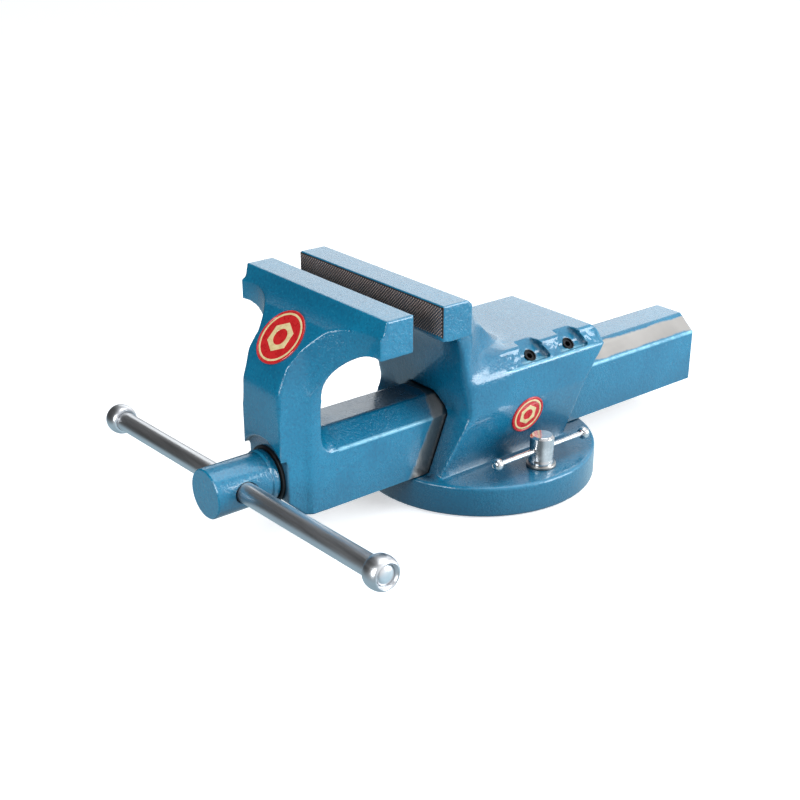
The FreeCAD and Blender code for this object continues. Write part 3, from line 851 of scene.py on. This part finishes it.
def badge_enamel(name, colour, darker):
    s = Shader(name)
    clouds = s.noise(240.0, 3.0, 0.6)
    s.set(Base_Color=s.mix(s.ramp(clouds, 0.3, 0.7), darker, colour))
    s.set(Roughness=s.ramp(clouds, 0.3, 0.7, 0.24, 0.36), Normal=s.bump(clouds, 0.00003, 0.3))
    s.set(Coat_Weight=0.4)
    return s.material


BLUE_JAW = enamel("jaw_enamel", jaw_bare)
BLUE_BODY = enamel("body_enamel", None, body_lip_highlight)
BLUE_BAR = enamel("bar_enamel", bar_bare, bar_edge_highlight)
BLUE_SPINDLE = enamel("spindle_enamel", spindle_bare, gloss=(0.08, 0.13))
CHROME = chrome()
ZINC = bright_zinc()
STEEL = machined_steel()
IRON = cast_iron()
KNURL = knurled_steel()
BLACK = black_steel()
RED = badge_enamel("badge_red", BADGE_RED, (0.50, 0.012, 0.015))
GOLD = badge_enamel("badge_cream", CREAM, (0.68, 0.52, 0.25))


# ------------------------------------------------------------------ the object

def finish(obj, material, body, slot, *replaced):
    """Give a new piece its material and its body, and hide the nodes it stands for; slot is not used."""
    obj.data.materials.clear()
    obj.data.materials.append(material)
    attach(obj, body)
    if replaced:
        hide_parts(*replaced)


def dress_node(node, material):
    for slot in nodes[node].material_slots:
        slot.material = material


body_casting = forged_copy("fixed_body", "body_casting", add_body_solids, BODY_VOXEL, BODY_CORNER_ROUNDS,
                           body_may_fill, body_crease, body_depth)
finish(body_casting, BLUE_BODY, "body", "blue_enamel", "fixed_body")
jaw_casting = forged_copy("front_jaw", "jaw_casting", add_jaw_solids, JAW_VOXEL, JAW_CORNER_ROUNDS,
                          jaw_may_fill, jaw_crease, ripple_depth)
finish(jaw_casting, BLUE_JAW, "moving_jaw", "blue_enamel", "front_jaw")
finish(knurled_face("rear_jaw_plate", "rear_knurl", -1), KNURL, "body", "jaw_steel", "rear_jaw_plate")
finish(knurled_face("front_jaw_plate", "front_knurl", 1), KNURL, "moving_jaw", "jaw_steel",
       "front_jaw_plate")
badge("front_badge", "moving_jaw", FRONT_BADGE)
badge("body_badge", "body", BODY_BADGE)
handle()
screw_mouth_shades()

soften_edges("slide_bar", 1.9 * MM, 4)
dress_node("slide_bar", BLUE_BAR)
soften_edges("spindle", 0.4 * MM, 2)
dress_node("spindle", BLUE_SPINDLE)
for node in ("left_clamp_nut", "right_clamp_nut"):
    soften_edges(node, 0.35 * MM)
    dress_node(node, ZINC)
for side in ("left", "right"):
    dress_node(side + "_tommy_bar", ZINC)
    tommy_knobs(side, side + "_tommy_knobs")
for node in ("retaining_collar", "clamp_washers", "spindle_nut", "gib_strip", "pivot_pin"):
    soften_edges(node, 0.3 * MM, 2)
    dress_node(node, STEEL)
soften_edges("base_plate", 0.5 * MM, 2)
dress_node("base_plate", IRON)
for node in ("gib_screws", "nut_bolts", "clamp_bolts", "collar_pin", "thrust_washer"):
    soften_edges(node, 0.3 * MM, 2)
    dress_node(node, BLACK)


# ------------------------------------------------------------------ stage, lights and camera

def studio():
    bm = bmesh.new()
    bmesh.ops.create_grid(bm, x_segments=1, y_segments=1, size=FLOOR_SIZE)
    floor = make_object("floor", bm)
    floor.location.z = -0.0005
    s = Shader("pale_floor")
    s.set(Base_Color=s.mix(s.noise(6.0, 2.0), (0.86, 0.87, 0.88), (0.90, 0.90, 0.91)), Roughness=0.7)
    s.set(Emission_Color=(1.0, 1.0, 1.0), Emission_Strength=0.5)
    floor.data.materials.append(s.material)
    floor.visible_diffuse = False
    floor.visible_glossy = False
    studio_walls()
    for light in LIGHTS:
        area(*light)


def studio_walls():
    """World brightest towards one wall, with a bluish lower half in place of the floor's reflection."""
    world = bpy.data.worlds.new("studio")
    world.use_nodes = True
    g = Graph(world.node_tree, "Generated")
    background = g.tree.nodes["Background"]
    height = g.split()[2]
    walls = g.ramp(g.dot(g.place, Vector(BRIGHT_WALL).normalized()), -0.50, 0.55, 0.06, 1.0)
    ground = g.ramp(height, -0.12, -0.42, 0.0, 0.6, "LINEAR")
    colour = g.mix(g.ramp(height, -0.40, 0.05, kind="LINEAR"), GROUND_COLOUR, WALL_COLOUR)
    g.link(colour, background.inputs["Color"])
    g.link(g.math("MAXIMUM", walls, ground), background.inputs["Strength"])
    bpy.context.scene.world = world


def area(name, place, target, width, height, power):
    light = bpy.data.lights.new(name, "AREA")
    light.shape = "RECTANGLE"
    light.size = width
    light.size_y = height
    light.energy = power
    light.color = LIGHT_COLOUR
    obj = bpy.data.objects.new(name, light)
    obj.location = place
    obj.rotation_euler = (Vector(target) - Vector(place)).to_track_quat("-Z", "Y").to_euler()
    bpy.context.scene.collection.objects.link(obj)


def camera():
    data = bpy.data.cameras.new("camera")
    data.sensor_width = CAMERA_SENSOR
    data.lens = CAMERA_LENS
    data.clip_start = 0.01
    data.clip_end = 20.0
    obj = bpy.data.objects.new("camera", data)
    forward = Vector(CAMERA_FORWARD).normalized()
    obj.location = CAMERA_PLACE
    obj.rotation_euler = forward.to_track_quat("-Z", "Y").to_euler()
    bpy.context.scene.collection.objects.link(obj)
    bpy.context.scene.camera = obj


studio()
camera()
bpy.context.scene.view_settings.view_transform = "Standard"
